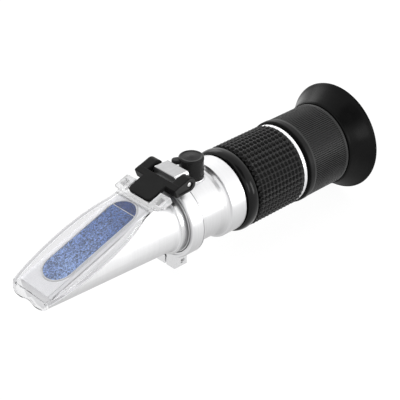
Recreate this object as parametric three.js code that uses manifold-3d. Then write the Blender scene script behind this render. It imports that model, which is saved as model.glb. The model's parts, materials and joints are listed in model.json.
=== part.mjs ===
// Hand-held refractometer with a hinged daylight plate, a screw-adjusted objective
// and a focusing eyepiece.
// Units are millimetres, +Z up. The optical axis runs along X, with the eyecup at +X.
// The origin is at the bottom centre of the whole instrument's box.
// Stations along the axis are measured forward, so as negative numbers, from the eyecup rim.

import * as THREE from 'three';
import { ConvexGeometry } from 'three/addons/geometries/ConvexGeometry.js';
import { mergeVertices } from 'three/addons/utils/BufferGeometryUtils.js';
import Module from 'manifold-3d';

const wasm = await Module();
wasm.setup();

// ---------------------------------------------------------------- driving dimensions

const LENGTH = 150;              // tip of the daylight plate's lip to the eyecup rim
const RIM_R = 21.5;              // eyecup rim, which the instrument rests on
const GAP = 0.3;                 // clearance between touching pieces
const FINE = 36;                 // facets round an outside surface
const COARSE = 24;               // facets round an inside or small piece

// prism deck: an inclined plane through DECK_X, DECK_Z, rising towards the eyecup
const SLOPE = THREE.MathUtils.degToRad(19.1);
const DECK_X = -109.5;
const DECK_Z = 10.7;
const PRISM_REACH = 27.8;        // between the centres of the prism's two round ends
const PRISM_HALF = 5.8;
const PRISM_DEPTH = 6;
const GASKET_OUT = 0.9;          // how far the gasket stands out beyond the prism
const GASKET_DEPTH = 0.9;

// nose
const NOSE_RINGS = [             // station and radius along the tapering shell
  [-91, 11],
  [-118, 10.1],
  [-139, 9.5],
];
const TIP_X = -146.2;
const TIP_R = 8;
const TIP_ROUND = 1;             // length of the rounded front edge
const TIP_DROP = 1;              // of the front face below the axis
const NOSE_FLANGE_FRONT = -92.2;
const NOSE_FLANGE_R = 12.2;
const NOSE_BORE_R = 9.4;
const SPIGOT_REAR = -81.5;       // of the spigot that enters the barrel
const BAFFLE_X = -84.5;
const BAFFLE_HOLE_R = 5.2;
const DECK_HALF_REAR = 8;
const DECK_REAR_S = 8.5;
const NOSE_WALL = 1.6;

// barrel and clamp
const BARREL_FRONT = -89.3;
const BARREL_R = 12.55;
const BORE_R = 11.3;
const FLANGE_R = 14.55;
const FLANGE_FRONT = -70.2;
const FLANGE_REAR = -63.1;
const CLAMP_FRONT = -89.4;
const CLAMP_REAR = -83.4;
const CLAMP_R = 14.7;
const LUG_HALF = 4.85;
const LUG_BASE = -19;
const LUG_SCREW_X = -85.7;
const LUG_SCREW_Z = -16.8;
const LUG_SCREW_R = 0.8;
const SLOT_TOP = -15.2;
const SLOT_HALF = 0.3;
const SLOT_RELIEF_R = 0.6;

// hinge
const PIN_X = -86.8;
const PIN_Z = 17.5;
const PIN_R = 0.9;
const PIN_HALF = 10.2;
const BLOCK_HALF = 5.9;
const BLOCK_FRONT = -89.2;
const BLOCK_REAR = -82.9;
const BLOCK_MID_X = (BLOCK_FRONT + BLOCK_REAR) / 2;
const BLOCK_TOP = 19.5;
const BLOCK_SCREW_R = 1;
const BLOCK_SCREW_SEAT = BARREL_R + GAP + 0.2;
const BLOCK_SCREW_HEAD = 0.6;    // thickness of the head
const BLOCK_SCREW_HEAD_R = 1.7;
const BLOCK_SCREW_TOP = 15.6;
const ARM_HALF = 10.5;
const HUB_R = 2.6;
const LEVER_TOP = 1.7;           // above the deck plane
const LEVER_UNDER = -1.8;
const TONGUE_FRONT_S = 9;
const TONGUE_HALF = 5.9;
const BAR_FRONT_S = 17;
const BAR_REAR_S = 19.8;
const ARM_REAR_S = 25.2;

// daylight plate, in the deck's own frame
const PLATE_UNDER = 0.3;
const PLATE_TOP = 1.3;
const PLATE_FRONT_S = -41.3;
const PLATE_REAR_S = 8.7;
const SKIRT_WALL = 1.2;
const SKIRT_DEPTH = 2;
const SKIRT_REAR_S = -3;
const LIP_FOOT = -2.2;
const LIP_THICK = 0.8;
const LIP_INNER = 0.4;           // each lobe of the lip, across
const LIP_OUTER = 8.8;
const NOSE_CLEAR_HALF = 8.2;     // half the opening in the front of the skirt
const PLATE_LUG_FRONT_S = 8.3;
const LUG_REAR_S = 16;
const PLATE_LUG_HALF = 11.2;
const PLATE_LUG_TOP = 1.5;
const FLOOR_FRONT_S = 10.4;      // floor under the lever's tongue, behind the deck
const FLOOR_UNDER = -0.9;
const FLOOR_HALF = 8.6;

// calibration adjuster
const ADJ_X = -76.6;
const CAP_R = 4.55;
const CAP_BASE = 13;
const CAP_ROOF = 18.8;           // inside
const CAP_TOP = 20.8;
const CAP_WALL = 1.1;
const TAB_ANGLE = THREE.MathUtils.degToRad(34);   // of the pull tab, from straight ahead
const TAB_REACH = 5.4;
const TAB_R = 1.5;
const TAB_BASE = 18.3;
const TAB_TOP = 19.9;
const BOSS_R = 4.9;              // flat boss on the barrel, under the cap
const BOSS_BASE = 11.4;
const BOSS_TOP = CAP_BASE - GAP;
const BUSH_R = 2.6;
const BUSH_FLANGE_R = 3.1;
const BUSH_BASE = 11.4;
const BUSH_TOP = 14.6;
const SCREW_R = 1.5;
const SCREW_HEAD_R = 2.4;
const SCREW_HEAD_BASE = 15.4;
const SCREW_TOP = 17;
const CARRIER_R = 8.9;
const CARRIER_FRONT = ADJ_X - 2.6;
const CARRIER_SEAT = ADJ_X - 1.2;
const CARRIER_REAR = ADJ_X + 3;
const OBJECTIVE_R = 6.6;
const ADJUST_TRAVEL = 0.5;       // of the objective, each way
const WIRE_R = 0.22;             // return spring
const COIL_R = 1.5;

// grip, focusing ring and eyepiece
const CORE_FRONT = -72;
const CORE_R = 13.6;             // tube that carries the grip
const CORE_SHOULDER = -32.4;
const GUIDE_R = 12.2;            // reduced end of that tube, inside the focusing ring
const CORE_BORE = 9.6;
const GUIDE_BORE = 10.2;
const GUIDE_FRONT = -34;
const GUIDE_REAR = -15;
const RETICLE_STOP = -38.2;      // rear face of the rib that the reticle rests on
const RIB = 1.2;                 // thickness and depth of that rib
const DISC = 1.5;                // thickness of the reticle and of its retainer
const BEAD_FRONT = -62.5;
const BEAD_REAR = -57.6;
const BEAD_R = 15.9;
const GRIP_FRONT = -57.2;
const GRIP_REAR = -34.2;
const GRIP_R = 15.85;
const TRIM_REAR = -32.3;
const TRIM_R = 15.5;
const LIP_R = 16.3;
const FOCUS_R = 16.1;
const FOCUS_FRONT = -31;
const FOCUS_BAND_REAR = -29;     // of the smooth band in front of the ribs
const FOCUS_REAR = -10.1;
const SPIGOT_R = 14;             // spigot that carries the eyecup
const SPIGOT_END = -7;
const CUP_OUTSIDE = [[-9.8, 16.5], [-7, 17.5], [-4, 19], [-1.2, 20.6], [0, RIM_R]];
const CUP_INSIDE = [[0, RIM_R - 1], [-1.5, 19.2], [-4, 17.5]];
const CELL_R = 9.9;
const CELL_BORE = 8.6;
const CELL_FRONT = -30.5;
const CELL_STOP = -28.6;         // rear face of the rib that the field lens rests on
const CELL_SHOULDER = -13;
const CELL_REAR = -10.6;
const LENS_R = 8.3;
const LENS_EDGE = 1.2;
const LENS_SAG = 1.8;
const FIELD_LENS_X = -28.2;      // flat faces of the two lenses
const EYE_LENS_X = -12.6;
const SPACER_FRONT = -24.6;
const SPACER_REAR = -16.2;
const KEY_X = -22;
const KEY_R = 0.9;
const FOCUS_TURN = THREE.MathUtils.degToRad(150);
const FOCUS_TRAVEL = 1.5;        // each way, over the whole turn each way

// ---------------------------------------------------------------- materials

function finish(color, roughness, metalness, extra = {}) {
  return new THREE.MeshStandardMaterial({ color, roughness, metalness, ...extra });
}

const aluminium = () => finish(0xd9dadc, 0.35, 0.9);
const darkAluminium = () => finish(0x2a2b2d, 0.5, 0.7);
const steel = () => finish(0xb8babd, 0.3, 1);
const brass = () => finish(0xb8924a, 0.35, 1);
const blackRubber = () => finish(0x1b1b1c, 0.75, 0);
const blackPlastic = () => finish(0x202021, 0.55, 0);
const sealant = () => finish(0xf2f2f0, 0.6, 0);
const blueGlass = () => finish(0x5270a0, 0.15, 0);
const clearGlass = () => finish(0xe4ecf2, 0.05, 0, { transparent: true, opacity: 0.4 });
const clearAcrylic = () => finish(0xeef0f2, 0.1, 0, { transparent: true, opacity: 0.5 });

// ---------------------------------------------------------------- solids and booleans

function toSolid(geometry) {
  const bare = geometry.clone();
  bare.deleteAttribute('normal');
  bare.deleteAttribute('uv');
  const merged = mergeVertices(bare, 1e-4);
  const kept = [];
  for (let i = 0; i < merged.index.count; i += 3) {
    const [a, b, c] = [0, 1, 2].map((k) => merged.index.getX(i + k));
    if (a !== b && b !== c && c !== a) kept.push(a, b, c);
  }
  const mesh = new wasm.Mesh({
    numProp: 3,
    vertProperties: Float32Array.from(merged.attributes.position.array),
    triVerts: Uint32Array.from(kept),
  });
  return new wasm.Manifold(mesh);
}

function toGeometry(solid) {
  const mesh = solid.getMesh();
  const geometry = new THREE.BufferGeometry();
  geometry.setAttribute('position', new THREE.Float32BufferAttribute(mesh.vertProperties, 3));
  geometry.setIndex(Array.from(mesh.triVerts));
  geometry.computeVertexNormals();
  return geometry;
}

function join(...geometries) {
  return toGeometry(geometries.map(toSolid).reduce((whole, next) => whole.add(next)));
}

function cut(geometry, ...tools) {
  return toGeometry(tools.map(toSolid).reduce((whole, tool) => whole.subtract(tool), toSolid(geometry)));
}

// A solid turned about the X axis. The profile is a closed list of [station, radius] corners.
function turned(corners, segments = FINE) {
  const area = corners.reduce((sum, [x, r], i) => {
    const [nextX, nextR] = corners[(i + 1) % corners.length];
    return sum + r * nextX - nextR * x;
  }, 0);
  const ordered = area > 0 ? corners : [...corners].reverse();
  const points = [...ordered, ordered[0]].map(([x, r]) => new THREE.Vector2(r, x));
  return new THREE.LatheGeometry(points, segments).rotateZ(-Math.PI / 2);
}

function tube(x0, x1, outer, inner, segments = FINE) {
  return turned([[x0, inner], [x1, inner], [x1, outer], [x0, outer]], segments);
}

function rod(x0, x1, radius, segments = COARSE) {
  const cylinder = new THREE.CylinderGeometry(radius, radius, x1 - x0, segments);
  return cylinder.rotateZ(-Math.PI / 2).translate((x0 + x1) / 2, 0, 0);
}

function rodAcross(x, z, half, radius, segments = COARSE) {
  return new THREE.CylinderGeometry(radius, radius, 2 * half, segments).translate(x, 0, z);
}

function rodUp(x, y, z0, z1, radius, segments = COARSE) {
  const cylinder = new THREE.CylinderGeometry(radius, radius, z1 - z0, segments);
  return cylinder.rotateX(Math.PI / 2).translate(x, y, (z0 + z1) / 2);
}

// A solid turned about a vertical line through (x, 0). The profile is [height, radius] corners.
function turnedUp(x, corners, segments = COARSE) {
  return turned(corners, segments).rotateY(-Math.PI / 2).translate(x, 0, 0);
}

function block(x0, x1, y0, y1, z0, z1) {
  const box = new THREE.BoxGeometry(x1 - x0, y1 - y0, z1 - z0);
  return box.translate((x0 + x1) / 2, (y0 + y1) / 2, (z0 + z1) / 2);
}

function slab(shape, low, high, curveSegments = 12) {
  const options = { depth: high - low, bevelEnabled: false, curveSegments };
  return new THREE.ExtrudeGeometry(shape, options).translate(0, 0, low);
}

function ringPoints(x, radius, centreZ = 0, count = FINE) {
  return Array.from({ length: count }, (_, i) => {
    const angle = (2 * Math.PI * i) / count;
    return new THREE.Vector3(x, radius * Math.cos(angle), centreZ + radius * Math.sin(angle));
  });
}

// ---------------------------------------------------------------- groups

// Everything stands in the instrument group, whose origin is the centre of the eyecup rim.
// The deck group lies in the inclined plane: s along the slope, v across, w out of the plane.
const refractometer = new THREE.Group();
const instrument = new THREE.Group();
instrument.position.set(LENGTH / 2, 0, RIM_R);
const deck = new THREE.Group();
deck.position.set(DECK_X, 0, DECK_Z);
deck.rotation.y = -SLOPE;
deck.updateMatrix();
refractometer.add(instrument);
instrument.add(deck);

function add(parent, name, geometry, material) {
  const mesh = new THREE.Mesh(geometry, material);
  mesh.name = name;
  parent.add(mesh);
}

function toInstrument(geometry) {
  return geometry.applyMatrix4(deck.matrix);
}

function deckPoint(s, v, w) {
  return new THREE.Vector3(s, v, w).applyMatrix4(deck.matrix);
}

const toDeck = deck.matrix.clone().invert();
const pinOnDeck = new THREE.Vector3(PIN_X, 0, PIN_Z).applyMatrix4(toDeck);

// ---------------------------------------------------------------- prism and nose

function stadium(half) {
  const shape = new THREE.Shape();
  shape.absarc(0, 0, half, -Math.PI / 2, Math.PI / 2, false);
  shape.absarc(-PRISM_REACH, 0, half, Math.PI / 2, (3 * Math.PI) / 2, false);
  return shape;
}

function prismHousing() {
  const shell = new ConvexGeometry([
    ...NOSE_RINGS.flatMap(([x, radius]) => ringPoints(x, radius)),
    ...ringPoints(TIP_X + TIP_ROUND, TIP_R + 0.9 * TIP_ROUND, -TIP_DROP / 2),
    ...ringPoints(TIP_X, TIP_R, -TIP_DROP),
    deckPoint(DECK_REAR_S, DECK_HALF_REAR, 0),
    deckPoint(DECK_REAR_S, -DECK_HALF_REAR, 0),
  ]);
  const flange = rod(NOSE_FLANGE_FRONT, BARREL_FRONT - GAP, NOSE_FLANGE_R, FINE);
  const spigot = rod(BARREL_FRONT - 2, SPIGOT_REAR, BORE_R - GAP, FINE);
  const cavityRear = DECK_REAR_S - 2;
  const cavityHalf = DECK_HALF_REAR - NOSE_WALL;
  const cavity = new ConvexGeometry([
    ...ringPoints(SPIGOT_REAR + 0.5, NOSE_BORE_R),
    ...ringPoints(NOSE_RINGS[0][0], NOSE_BORE_R),
    ...ringPoints(-132, 7.6),
    deckPoint(cavityRear, cavityHalf, -NOSE_WALL),
    deckPoint(cavityRear, -cavityHalf, -NOSE_WALL),
  ]);
  const above = toInstrument(block(-60, 60, -30, 30, 0, 60));
  const roof = toInstrument(block(-60, 0, -30, 30, -2 * NOSE_WALL, 60));
  const hollow = cut(cavity, roof);
  const recess = toInstrument(slab(stadium(PRISM_HALF + GASKET_OUT + GAP), -GASKET_DEPTH - GAP, 1));
  const pocket = toInstrument(slab(stadium(PRISM_HALF + GAP), -PRISM_DEPTH - GAP, 1));
  return cut(join(shell, flange, spigot), above, hollow, recess, pocket);
}

function prismGasket() {
  const outline = stadium(PRISM_HALF + GASKET_OUT);
  outline.holes.push(stadium(PRISM_HALF + GAP));
  return slab(outline, -GASKET_DEPTH, 0, 8);
}

add(instrument, 'prism_housing', prismHousing(), aluminium());
add(deck, 'measuring_prism', slab(stadium(PRISM_HALF), -PRISM_DEPTH, 0), blueGlass());
add(deck, 'prism_gasket', prismGasket(), sealant());
const baffle = tube(BAFFLE_X, BAFFLE_X + 1, NOSE_BORE_R - GAP, BAFFLE_HOLE_R, COARSE);
add(instrument, 'light_baffle', baffle, blackPlastic());

// ---------------------------------------------------------------- clamp ring with its lug

function clampRing() {
  const chamfer = 0.7;
  const inner = BARREL_R + GAP;
  const ring = turned([
    [CLAMP_FRONT, inner],
    [CLAMP_FRONT, CLAMP_R - chamfer],
    [CLAMP_FRONT + chamfer, CLAMP_R],
    [CLAMP_REAR, CLAMP_R],
    [CLAMP_REAR, inner],
  ]);
  const lugTop = -inner - 0.4;
  const lug = block(CLAMP_FRONT, CLAMP_REAR, -LUG_HALF, LUG_HALF, LUG_BASE, lugTop);
  const slot = block(CLAMP_FRONT - 1, CLAMP_REAR + 1, -SLOT_HALF, SLOT_HALF, LUG_BASE - 1, SLOT_TOP);
  const relief = rod(CLAMP_FRONT - 1, CLAMP_REAR + 1, SLOT_RELIEF_R, 16).translate(0, 0, SLOT_TOP);
  const screwHole = rodAcross(LUG_SCREW_X, LUG_SCREW_Z, LUG_HALF + 1, LUG_SCREW_R + GAP, 20);
  const bore = rod(CLAMP_FRONT - 1, CLAMP_REAR + 1, inner, FINE);
  const blockHole = rodUp(BLOCK_MID_X, 0, inner - 1, CLAMP_R + 1, BLOCK_SCREW_R + GAP, 20);
  const headTop = BLOCK_SCREW_SEAT + BLOCK_SCREW_HEAD;
  const headSeat = rodUp(BLOCK_MID_X, 0, inner - 1, headTop + GAP, BLOCK_SCREW_HEAD_R + GAP, 20);
  return cut(join(ring, lug), bore, slot, relief, screwHole, blockHole, headSeat);
}

add(instrument, 'clamp_ring', clampRing(), aluminium());
const clampScrew = rodAcross(LUG_SCREW_X, LUG_SCREW_Z, LUG_HALF - 0.2, LUG_SCREW_R, 20);
add(instrument, 'clamp_screw', clampScrew, steel());

// ---------------------------------------------------------------- hinge

function hingeBlock() {
  const body = block(BLOCK_FRONT, BLOCK_REAR, -BLOCK_HALF, BLOCK_HALF, CLAMP_R - 2, BLOCK_TOP);
  const ringSeat = rod(BLOCK_FRONT - 1, BLOCK_REAR + 1, CLAMP_R + GAP, FINE);
  const pinHole = rodAcross(PIN_X, PIN_Z, BLOCK_HALF + 1, PIN_R + GAP, 20);
  const screwHole = rodUp(BLOCK_MID_X, 0, BARREL_R, BLOCK_SCREW_TOP + GAP, BLOCK_SCREW_R + GAP, 20);
  return cut(body, ringSeat, pinHole, screwHole);
}

function hingeBlockScrew() {
  const headTop = BLOCK_SCREW_SEAT + BLOCK_SCREW_HEAD;
  return turnedUp(BLOCK_MID_X, [
    [BLOCK_SCREW_SEAT, 0],
    [BLOCK_SCREW_SEAT, BLOCK_SCREW_HEAD_R],
    [headTop, BLOCK_SCREW_HEAD_R],
    [headTop, BLOCK_SCREW_R],
    [BLOCK_SCREW_TOP, BLOCK_SCREW_R],
    [BLOCK_SCREW_TOP, 0],
  ], 20);
}

function hingeLever() {
  const tongue = block(TONGUE_FRONT_S, BAR_REAR_S, -TONGUE_HALF, TONGUE_HALF, GAP, LEVER_TOP);
  const bar = block(BAR_FRONT_S, BAR_REAR_S, -ARM_HALF, ARM_HALF, LEVER_UNDER, LEVER_TOP);
  const arms = [-1, 1].flatMap((side) => {
    const inner = BLOCK_HALF + GAP;
    const span = [Math.min(side * inner, side * ARM_HALF), Math.max(side * inner, side * ARM_HALF)];
    const arm = block(BAR_FRONT_S + 1, ARM_REAR_S - 1, ...span, LEVER_UNDER, LEVER_TOP);
    const hub = rodAcross(pinOnDeck.x, pinOnDeck.z, (ARM_HALF - inner) / 2, HUB_R, 24);
    return [arm, hub.translate(0, (side * (ARM_HALF + inner)) / 2, 0)];
  });
  const pinHole = rodAcross(pinOnDeck.x, pinOnDeck.z, ARM_HALF + 1, PIN_R + GAP, 20);
  return cut(join(tongue, bar, ...arms), pinHole);
}

add(instrument, 'hinge_block', hingeBlock(), aluminium());
add(instrument, 'hinge_block_screw', hingeBlockScrew(), steel());
add(instrument, 'hinge_pin', rodAcross(PIN_X, PIN_Z, PIN_HALF, PIN_R, 20), steel());
add(deck, 'hinge_lever', hingeLever(), blackPlastic());

// ---------------------------------------------------------------- daylight plate

// Half the plate's width at stations along the slope, front to rear.
const PLATE_HALF_WIDTHS = [
  [PLATE_FRONT_S, 9.3],
  [-37, 10.4],
  [-31.5, 11.1],
  [-21, 12],
  [-12.6, 11.8],
  [-6, 10.9],
  [2, 9.4],
  [PLATE_REAR_S, 9.2],
];

function plateOutline(inset, frontS, rearS) {
  const curve = new THREE.SplineCurve(PLATE_HALF_WIDTHS.map(([s, v]) => new THREE.Vector2(s, v)));
  const side = curve.getPoints(28).filter((p) => p.x >= frontS && p.x <= rearS);
  const upper = side.map((p) => new THREE.Vector2(p.x, p.y - inset));
  const lower = [...upper].reverse().map((p) => new THREE.Vector2(p.x, -p.y));
  return new THREE.Shape([...upper, ...lower]);
}

// One of the two rounded halves of the thumb lip that hangs in front of the nose.
function lipLobe(side) {
  const toeW = LIP_FOOT + LIP_THICK;
  const footS = (-LENGTH - DECK_X + toeW * Math.sin(SLOPE)) / Math.cos(SLOPE);
  const root = PLATE_FRONT_S + 0.4;
  const points = [];
  const steps = 10;
  for (let i = 0; i <= steps; i += 1) {
    const v = LIP_INNER + ((LIP_OUTER - LIP_INNER) * i) / steps;
    const bulge = Math.sqrt(1 - ((2 * i) / steps - 1) ** 2);
    const foot = THREE.MathUtils.lerp(PLATE_FRONT_S - 0.9, footS, bulge);
    points.push(new THREE.Vector3(foot, side * v, LIP_FOOT));
    points.push(new THREE.Vector3(foot, side * v, toeW));
  }
  for (const v of [0, LIP_OUTER + LIP_INNER]) {
    points.push(new THREE.Vector3(root, side * v, LIP_FOOT));
    points.push(new THREE.Vector3(root, side * v, PLATE_TOP));
    points.push(new THREE.Vector3(PLATE_FRONT_S, side * v, PLATE_TOP));
  }
  return new ConvexGeometry(points);
}

function daylightPlate() {
  const sheet = slab(plateOutline(0, PLATE_FRONT_S, PLATE_REAR_S), PLATE_UNDER, PLATE_TOP);
  const skirtBlank = slab(plateOutline(0, PLATE_FRONT_S, SKIRT_REAR_S), -SKIRT_DEPTH, PLATE_TOP - 0.2);
  const skirtCore = slab(plateOutline(SKIRT_WALL, PLATE_FRONT_S, SKIRT_REAR_S), -SKIRT_DEPTH - 1, PLATE_UNDER);
  const clearSpan = [-NOSE_CLEAR_HALF, NOSE_CLEAR_HALF];
  const frontClear = block(PLATE_FRONT_S + 0.5, SKIRT_REAR_S + 1, ...clearSpan, -SKIRT_DEPTH - 1, PLATE_UNDER);
  const skirt = cut(skirtBlank, skirtCore, frontClear);
  const floor = block(FLOOR_FRONT_S, LUG_REAR_S, -FLOOR_HALF, FLOOR_HALF, FLOOR_UNDER, 0);
  const inner = TONGUE_HALF + GAP;
  const lugs = [-1, 1].flatMap((side) => {
    const span = side < 0 ? [-PLATE_LUG_HALF, -inner] : [inner, PLATE_LUG_HALF];
    const ear = block(PLATE_LUG_FRONT_S, LUG_REAR_S, ...span, PLATE_UNDER, PLATE_LUG_TOP);
    return [ear, block(FLOOR_FRONT_S, LUG_REAR_S, ...span, FLOOR_UNDER, PLATE_TOP)];
  });
  return join(sheet, skirt, lipLobe(-1), lipLobe(1), floor, ...lugs);
}

add(deck, 'daylight_plate', daylightPlate(), clearAcrylic());

// ---------------------------------------------------------------- barrel

function barrel() {
  const body = turned([
    [BARREL_FRONT, BORE_R],
    [BARREL_FRONT, BARREL_R],
    [-72.2, BARREL_R + 0.15],
    [-71.3, 13.1],
    [-70.6, 13.8],
    [FLANGE_FRONT, FLANGE_R],
    [FLANGE_REAR, FLANGE_R],
    [FLANGE_REAR, BORE_R],
  ]);
  const boss = rodUp(ADJ_X, 0, BOSS_BASE, BOSS_TOP, BOSS_R, 36);
  return cut(join(body, boss), rodUp(ADJ_X, 0, BORE_R - 3, CAP_BASE + 3, BUSH_R + GAP, 24));
}

add(instrument, 'barrel', barrel(), aluminium());

// ---------------------------------------------------------------- calibration adjuster

function calibrationBush() {
  const bore = SCREW_R + GAP;
  return turnedUp(ADJ_X, [
    [BUSH_BASE, bore],
    [BUSH_TOP, bore],
    [BUSH_TOP, BUSH_FLANGE_R],
    [CAP_BASE, BUSH_FLANGE_R],
    [CAP_BASE, BUSH_R],
    [BUSH_BASE, BUSH_R],
  ], 24);
}

function calibrationScrew() {
  const foot = CARRIER_R + GAP;
  return turnedUp(ADJ_X, [
    [foot, 0],
    [foot, 1.1],
    [foot + 0.8, SCREW_R],
    [SCREW_HEAD_BASE, SCREW_R],
    [SCREW_HEAD_BASE, SCREW_HEAD_R],
    [SCREW_TOP, SCREW_HEAD_R],
    [SCREW_TOP, 0],
  ], 24);
}

function calibrationCap() {
  const inner = CAP_R - CAP_WALL;
  const body = turnedUp(ADJ_X, [
    [CAP_BASE, inner],
    [CAP_ROOF, inner],
    [CAP_ROOF, 0],
    [CAP_TOP, 0],
    [CAP_TOP - 0.2, CAP_R - 1.2],
    [CAP_TOP - 0.8, CAP_R - 0.2],
    [CAP_TOP - 1.6, CAP_R],
    [CAP_BASE + 1.2, CAP_R - 0.25],
    [CAP_BASE + 0.9, CAP_R],
    [CAP_BASE, CAP_R],
  ], 36);
  const root = block(-TAB_REACH, 0.5 - CAP_R, -TAB_R, TAB_R, TAB_BASE, TAB_TOP);
  const tab = join(root, rodUp(-TAB_REACH, 0, TAB_BASE, TAB_TOP, TAB_R, 20));
  return join(body, tab.rotateZ(-TAB_ANGLE).translate(ADJ_X, 0, 0));
}

function returnSpring() {
  const turns = 1.5;
  const low = WIRE_R + GAP - BORE_R;
  const high = -CARRIER_R - ADJUST_TRAVEL - GAP - WIRE_R;
  class Helix extends THREE.Curve {
    getPoint(t, target = new THREE.Vector3()) {
      const angle = 2 * Math.PI * turns * t;
      const height = THREE.MathUtils.lerp(low, high, t);
      return target.set(ADJ_X + COIL_R * Math.cos(angle), COIL_R * Math.sin(angle), height);
    }
  }
  const wire = new THREE.Shape();
  wire.absarc(0, 0, WIRE_R, 0, 2 * Math.PI, false);
  const options = { steps: 14 * turns, extrudePath: new Helix(), curveSegments: 3, bevelEnabled: false };
  return new THREE.ExtrudeGeometry(wire, options);
}

function objectiveLens() {
  const sag = 0.9;
  const half = 0.9;
  const face = (side) => [1, 0.7, 0.35, 0].map((f) => {
    return [ADJ_X + side * (half + sag * (1 - f * f)), OBJECTIVE_R * f];
  });
  return turned([...face(1), ...face(-1).reverse()], COARSE);
}

function objectiveCarrier() {
  const seat = OBJECTIVE_R + GAP;
  const opening = OBJECTIVE_R - 0.8;
  return turned([
    [CARRIER_FRONT, opening],
    [CARRIER_FRONT, CARRIER_R],
    [CARRIER_REAR, CARRIER_R],
    [CARRIER_REAR, seat],
    [CARRIER_SEAT, seat],
    [CARRIER_SEAT, opening],
  ], COARSE);
}

add(instrument, 'calibration_bush', calibrationBush(), brass());
add(instrument, 'calibration_screw', calibrationScrew(), brass());
add(instrument, 'calibration_cap', calibrationCap(), blackRubber());
add(instrument, 'return_spring', returnSpring(), steel());
add(instrument, 'objective_carrier', objectiveCarrier(), darkAluminium());
add(instrument, 'objective_lens', objectiveLens(), clearGlass());
const retainerSpan = [CARRIER_REAR - 1.7, CARRIER_REAR - 0.3];
const objectiveRetainer = tube(...retainerSpan, OBJECTIVE_R, OBJECTIVE_R - 1, COARSE);
add(instrument, 'objective_retainer', objectiveRetainer, darkAluminium());

// ---------------------------------------------------------------- grip

function gripTube() {
  const front = FLANGE_REAR + GAP;
  const body = turned([
    [CORE_FRONT, CORE_BORE],
    [CORE_FRONT, BORE_R - GAP],
    [front, BORE_R - GAP],
    [front, CORE_R],
    [CORE_SHOULDER, CORE_R],
    [CORE_SHOULDER, GUIDE_R],
    [GUIDE_REAR, GUIDE_R],
    [GUIDE_REAR, GUIDE_BORE],
    [GUIDE_FRONT, GUIDE_BORE],
    [GUIDE_FRONT, CORE_BORE],
    [RETICLE_STOP, CORE_BORE],
    [RETICLE_STOP, CORE_BORE - RIB],
    [RETICLE_STOP - RIB, CORE_BORE - RIB],
    [RETICLE_STOP - RIB, CORE_BORE],
  ]);
  const reach = FOCUS_TRAVEL + KEY_R + GAP;
  const slotHalf = KEY_R + GAP;
  return cut(body, block(KEY_X - reach, KEY_X + reach, -slotHalf, slotHalf, GUIDE_BORE - 1, GUIDE_R + 1));
}

function beadRing() {
  const foot = CORE_R + 1;
  const bulge = Array.from({ length: 5 }, (_, i) => {
    const angle = (Math.PI * i) / 4;
    const x = THREE.MathUtils.lerp(BEAD_FRONT, BEAD_REAR, (1 - Math.cos(angle)) / 2);
    return [x, foot + (BEAD_R - foot) * Math.sin(angle) ** 0.5];
  });
  return turned([[BEAD_FRONT, CORE_R + GAP], ...bulge, [BEAD_REAR, CORE_R + GAP]]);
}

add(instrument, 'grip_tube', gripTube(), darkAluminium());
add(instrument, 'bead_ring', beadRing(), blackRubber());
add(instrument, 'grip_sleeve', tube(GRIP_FRONT, GRIP_REAR, GRIP_R, CORE_R + GAP), blackRubber());
add(instrument, 'trim_ring', tube(GRIP_REAR + GAP, TRIM_REAR, TRIM_R, CORE_R + GAP), aluminium());

// ---------------------------------------------------------------- reticle

const discFront = RETICLE_STOP + GAP;
const ringFront = discFront + DISC + GAP;
add(instrument, 'reticle_disc', rod(discFront, discFront + DISC, CORE_BORE - GAP), clearGlass());
const reticleRetainer = tube(ringFront, ringFront + DISC, CORE_BORE - GAP, CORE_BORE - 1.8, COARSE);
add(instrument, 'reticle_retainer', reticleRetainer, darkAluminium());

// ---------------------------------------------------------------- focusing ring and eyecup

// The key follows a helical groove inside the ring, so turning the ring slides the lens cell.
function keyGroove() {
  const ratio = FOCUS_TRAVEL / FOCUS_TURN;
  const radius = GUIDE_R + GAP;
  const reach = FOCUS_TURN + 0.12;
  class Groove extends THREE.Curve {
    getPoint(t, target = new THREE.Vector3()) {
      const turn = (2 * t - 1) * reach;
      const x = KEY_X - ratio * turn;
      return target.set(x, -radius * Math.sin(turn), radius * Math.cos(turn));
    }
  }
  const half = KEY_R + GAP;
  const section = new THREE.Shape([
    new THREE.Vector2(-half, -half),
    new THREE.Vector2(half, -half),
    new THREE.Vector2(half, half),
    new THREE.Vector2(-half, half),
  ]);
  return new THREE.ExtrudeGeometry(section, { steps: 24, extrudePath: new Groove(), bevelEnabled: false });
}

function focusRing() {
  const inner = GUIDE_R + GAP;
  const body = turned([
    [FOCUS_FRONT, inner],
    [FOCUS_FRONT, LIP_R - 0.3],
    [FOCUS_FRONT + 0.4, LIP_R],
    [FOCUS_BAND_REAR, LIP_R],
    [FOCUS_BAND_REAR + 0.2, FOCUS_R],
    [FOCUS_REAR, FOCUS_R],
    [FOCUS_REAR, SPIGOT_R],
    [SPIGOT_END, SPIGOT_R],
    [SPIGOT_END, inner],
  ]);
  return cut(body, keyGroove());
}

function eyecup() {
  const bore = SPIGOT_R + GAP;
  const seat = [[SPIGOT_END + GAP, bore], [FOCUS_REAR + GAP, bore]];
  return turned([...CUP_OUTSIDE, ...CUP_INSIDE, ...seat], FINE);
}

add(instrument, 'focus_ring', focusRing(), blackPlastic());
add(instrument, 'eyecup', eyecup(), blackRubber());

// ---------------------------------------------------------------- eyepiece

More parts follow.
